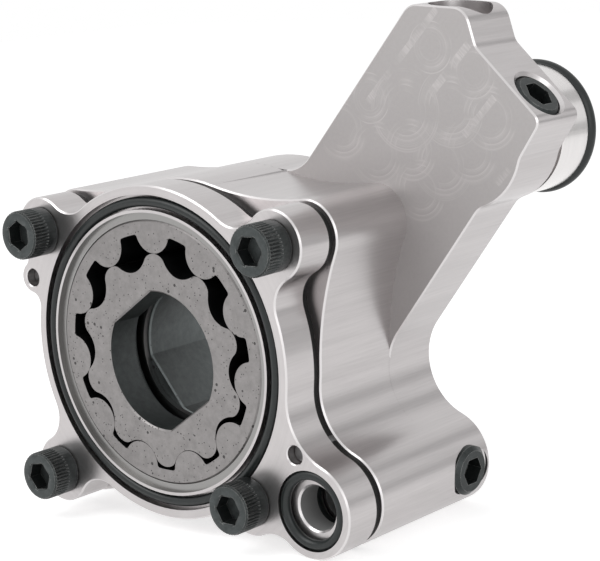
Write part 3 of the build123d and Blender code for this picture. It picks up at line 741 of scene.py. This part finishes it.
class PUMP_OT_cap_screws(bpy.types.Operator):
    """Build the four knurled cap screws with hexagon sockets"""
    bl_idname = "pump.cap_screws"
    bl_label = "Build Cap Screws"

    places = {"upper_left": (-28.7, 23.8, 32.0), "upper_right": (31.1, 23.8, 1.0),
              "lower_left": (-29.3, -24.4, 9.0), "lower_right": (21.0, -24.4, -2.0)}

    def execute(self, context):
        screws = context.scene.pump_screws
        edges_group()
        metal = black_oxide(context.scene.pump_finish)
        for corner, (x, z, turn) in self.places.items():
            piece = self.build(screws, f"cap_screw_{corner}", x, z, turn)
            piece.data.materials.append(metal)
            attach(piece, BODY)
            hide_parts("cap_screws")
        return {"FINISHED"}

    def build(self, screws, name, x, z, turn):
        """One screw from the socket's floor out over the head and along the shank to its tip."""
        front = HEAD_FRONT
        head, shank = screws.head_radius, screws.shank_radius
        hole = hexagon(screws.socket, radians(turn))
        mouth = screws.socket / 2 / cos(pi / 6) + 0.12
        floor = front + screws.socket_depth
        mid = front - KNURLED * front
        rows = [
            (floor + 0.7, round_row(0.3)),
            (floor, round_row(screws.socket / 2 * 0.93)),
            (floor, hole),
            (front + 0.22, hole),
            (front, round_row(mouth)),
            (front, round_row(head - 0.55)),
            (front + 0.08, round_row(head - 0.32)),
            (front + 0.45, knurl(head - 0.02, screws.teeth, screws.knurl_depth, 0.6)),
            (front + 0.75, knurl(head, screws.teeth, screws.knurl_depth)),
            (mid, knurl(head, screws.teeth, screws.knurl_depth)),
            (mid + 0.35, round_row(head - 0.03)),
            (-0.3, round_row(head - 0.03)),
            (-0.02, round_row(head - 0.3)),
            (0.0, round_row(head - 0.45)),
            (0.0, round_row(shank + 0.3)),
            (0.3, round_row(shank)),
            (screws.length - 0.6, round_row(shank)),
            (screws.length, round_row(shank - 0.6)),
        ]
        return lathe(name, rows, screws.teeth * 6, Matrix.Translation((x, 0.0, z)))


class PUMP_OT_plugs(bpy.types.Operator):
    """Finish the three socket plugs that close the drillings"""
    bl_idname = "pump.plugs"
    bl_label = "Finish Plugs"

    def execute(self, context):
        dress(["arm_side_plug", "arm_top_plug", "boss_side_plug"], bpy.data.materials["black oxide steel"])
        return {"FINISHED"}


class PUMP_OT_stage(bpy.types.Operator):
    """Set the floor, the soft lights, the world and the camera"""
    bl_idname = "pump.stage"
    bl_label = "Set Stage"

    def execute(self, context):
        stage = context.scene.pump_stage
        self.floor()
        for name, place, size in LAMPS:
            self.light(name, place, size, getattr(stage, name))
        for name, low, high, shade in FLAGS:
            self.flag(name, radians(low), radians(high), shade * stage.flags)
        self.world(context, stage)
        self.camera(context)
        context.scene.view_settings.view_transform = "Standard"
        return {"FINISHED"}

    def seen(self, tree):
        """1 for rays from the camera and for those that metal or glass send on."""
        path = node(tree, "ShaderNodeLightPath")
        direct = math_node(tree, "MAXIMUM", path.outputs["Is Camera Ray"], path.outputs["Is Glossy Ray"])
        return math_node(tree, "MAXIMUM", direct, path.outputs["Is Transmission Ray"])

    def floor(self):
        low, half = CAD_BOX[0].z, FLOOR_HALF
        mesh = bpy.data.meshes.new("floor")
        mesh.from_pydata([(-half, -half, low), (half, -half, low), (half, half, low), (-half, half, low)],
                         [], [(0, 1, 2, 3)])
        piece = bpy.data.objects.new("floor", mesh)
        bpy.context.collection.objects.link(piece)
        material, tree, shader = blank_material("pale floor")
        shader.inputs["Base Color"].default_value = (0.8, 0.8, 0.8, 1.0)
        shader.inputs["Roughness"].default_value = 0.9
        shader.inputs["Specular IOR Level"].default_value = 0.0
        glow = node(tree, "ShaderNodeEmission")
        link(tree, math_node(tree, "MULTIPLY", self.seen(tree), 0.6), glow.inputs["Strength"])
        both = node(tree, "ShaderNodeAddShader")
        link(tree, shader.outputs[0], both.inputs[0])
        link(tree, glow.outputs[0], both.inputs[1])
        link(tree, both.outputs[0], tree.nodes["Material Output"].inputs[0])
        mesh.materials.append(material)

    def flag(self, name, low, high, shade):
        """Grey card behind the pump that only its metal reflects, so that round walls show bands."""
        verts = []
        for k in range(FLAG_STEPS + 1):
            turn = low + (high - low) * k / FLAG_STEPS
            for lean in FLAG_LEAN:
                side = FLAG_REACH * sin(radians(lean))
                verts.append((side * cos(turn), FLAG_REACH * cos(radians(lean)), side * sin(turn)))
        faces = [(2 * k, 2 * k + 1, 2 * k + 3, 2 * k + 2) for k in range(FLAG_STEPS)]
        mesh = bpy.data.meshes.new(name)
        mesh.from_pydata(verts, [], faces)
        piece = bpy.data.objects.new(name, mesh)
        bpy.context.collection.objects.link(piece)
        material, tree, shader = blank_material(name)
        glow = node(tree, "ShaderNodeEmission")
        glow.inputs["Strength"].default_value = shade
        link(tree, glow.outputs[0], tree.nodes["Material Output"].inputs[0])
        mesh.materials.append(material)
        piece.visible_camera = False
        piece.visible_diffuse = False
        piece.visible_shadow = False

    def light(self, name, place, size, power):
        data = bpy.data.lights.new(name, "AREA")
        data.size = size
        data.energy = power
        lamp = bpy.data.objects.new(name, data)
        lamp.location = place
        aim = Vector(MIDDLE) - Vector(place)
        lamp.rotation_euler = aim.to_track_quat("-Z", "Y").to_euler()
        bpy.context.collection.objects.link(lamp)

    def world(self, context, stage):
        world = bpy.data.worlds.new("studio")
        context.scene.world = world
        world.use_nodes = True
        tree = world.node_tree
        back = tree.nodes["Background"]
        back.inputs["Color"].default_value = (1.0, 1.0, 1.0, 1.0)
        back.inputs["Strength"].default_value = stage.world
        white = node(tree, "ShaderNodeBackground")
        white.inputs["Color"].default_value = (1.0, 1.0, 1.0, 1.0)
        white.inputs["Strength"].default_value = 1.0
        mix = node(tree, "ShaderNodeMixShader")
        link(tree, self.seen(tree), mix.inputs[0])
        link(tree, back.outputs[0], mix.inputs[1])
        link(tree, white.outputs[0], mix.inputs[2])
        link(tree, mix.outputs[0], tree.nodes["World Output"].inputs[0])

    def camera(self, context):
        azimuth, elevation, roll = (radians(turn) for turn in VIEW_TURNS)
        back = Vector((sin(azimuth) * cos(elevation), -cos(azimuth) * cos(elevation), sin(elevation)))
        right = (-back).cross(Vector((0, 0, 1))).normalized()
        up = right.cross(-back)
        side = right * cos(roll) + up * sin(roll)
        top = -right * sin(roll) + up * cos(roll)
        data = bpy.data.cameras.new("camera")
        data.sensor_width = 36.0
        data.lens = LENS
        data.shift_x, data.shift_y = SHIFT
        data.clip_start = 0.01
        data.clip_end = 20.0
        cam = bpy.data.objects.new("camera", data)
        pose = Matrix((side, top, back)).transposed().to_4x4()
        pose.translation = Vector(CAMERA_PLACE)
        cam.matrix_world = pose
        context.collection.objects.link(cam)
        context.scene.camera = cam


class PUMP_PT_panel(bpy.types.Panel):
    bl_label = "Oil Pump"
    bl_idname = "PUMP_PT_panel"
    bl_space_type = "VIEW_3D"
    bl_region_type = "UI"
    bl_category = "Oil Pump"

    def draw(self, context):
        layout = self.layout
        for group in (context.scene.pump_finish, context.scene.pump_screws, context.scene.pump_stage):
            box = layout.box()
            for key in group.bl_rna.properties.keys():
                if key not in ("rna_type", "name"):
                    box.prop(group, key)
        for operator in OPERATORS:
            layout.operator(operator.bl_idname)


OPERATORS = (PUMP_OT_housings, PUMP_OT_rotors, PUMP_OT_seals, PUMP_OT_cap_screws, PUMP_OT_plugs,
             PUMP_OT_stage)
GROUPS = (PumpFinish, PumpScrews, PumpStage)


def register():
    for made in (*GROUPS, *OPERATORS, PUMP_PT_panel):
        bpy.utils.register_class(made)
    bpy.types.Scene.pump_finish = PointerProperty(type=PumpFinish)
    bpy.types.Scene.pump_screws = PointerProperty(type=PumpScrews)
    bpy.types.Scene.pump_stage = PointerProperty(type=PumpStage)


def unregister():
    for key in ("pump_finish", "pump_screws", "pump_stage"):
        delattr(bpy.types.Scene, key)
    for made in reversed((*GROUPS, *OPERATORS, PUMP_PT_panel)):
        bpy.utils.unregister_class(made)


def main():
    register()
    bpy.ops.pump.housings()
    bpy.ops.pump.rotors()
    bpy.ops.pump.seals()
    bpy.ops.pump.cap_screws()
    bpy.ops.pump.plugs()
    bpy.ops.pump.stage()
    bpy.context.view_layer.update()


if __name__ == "__main__":
    main()
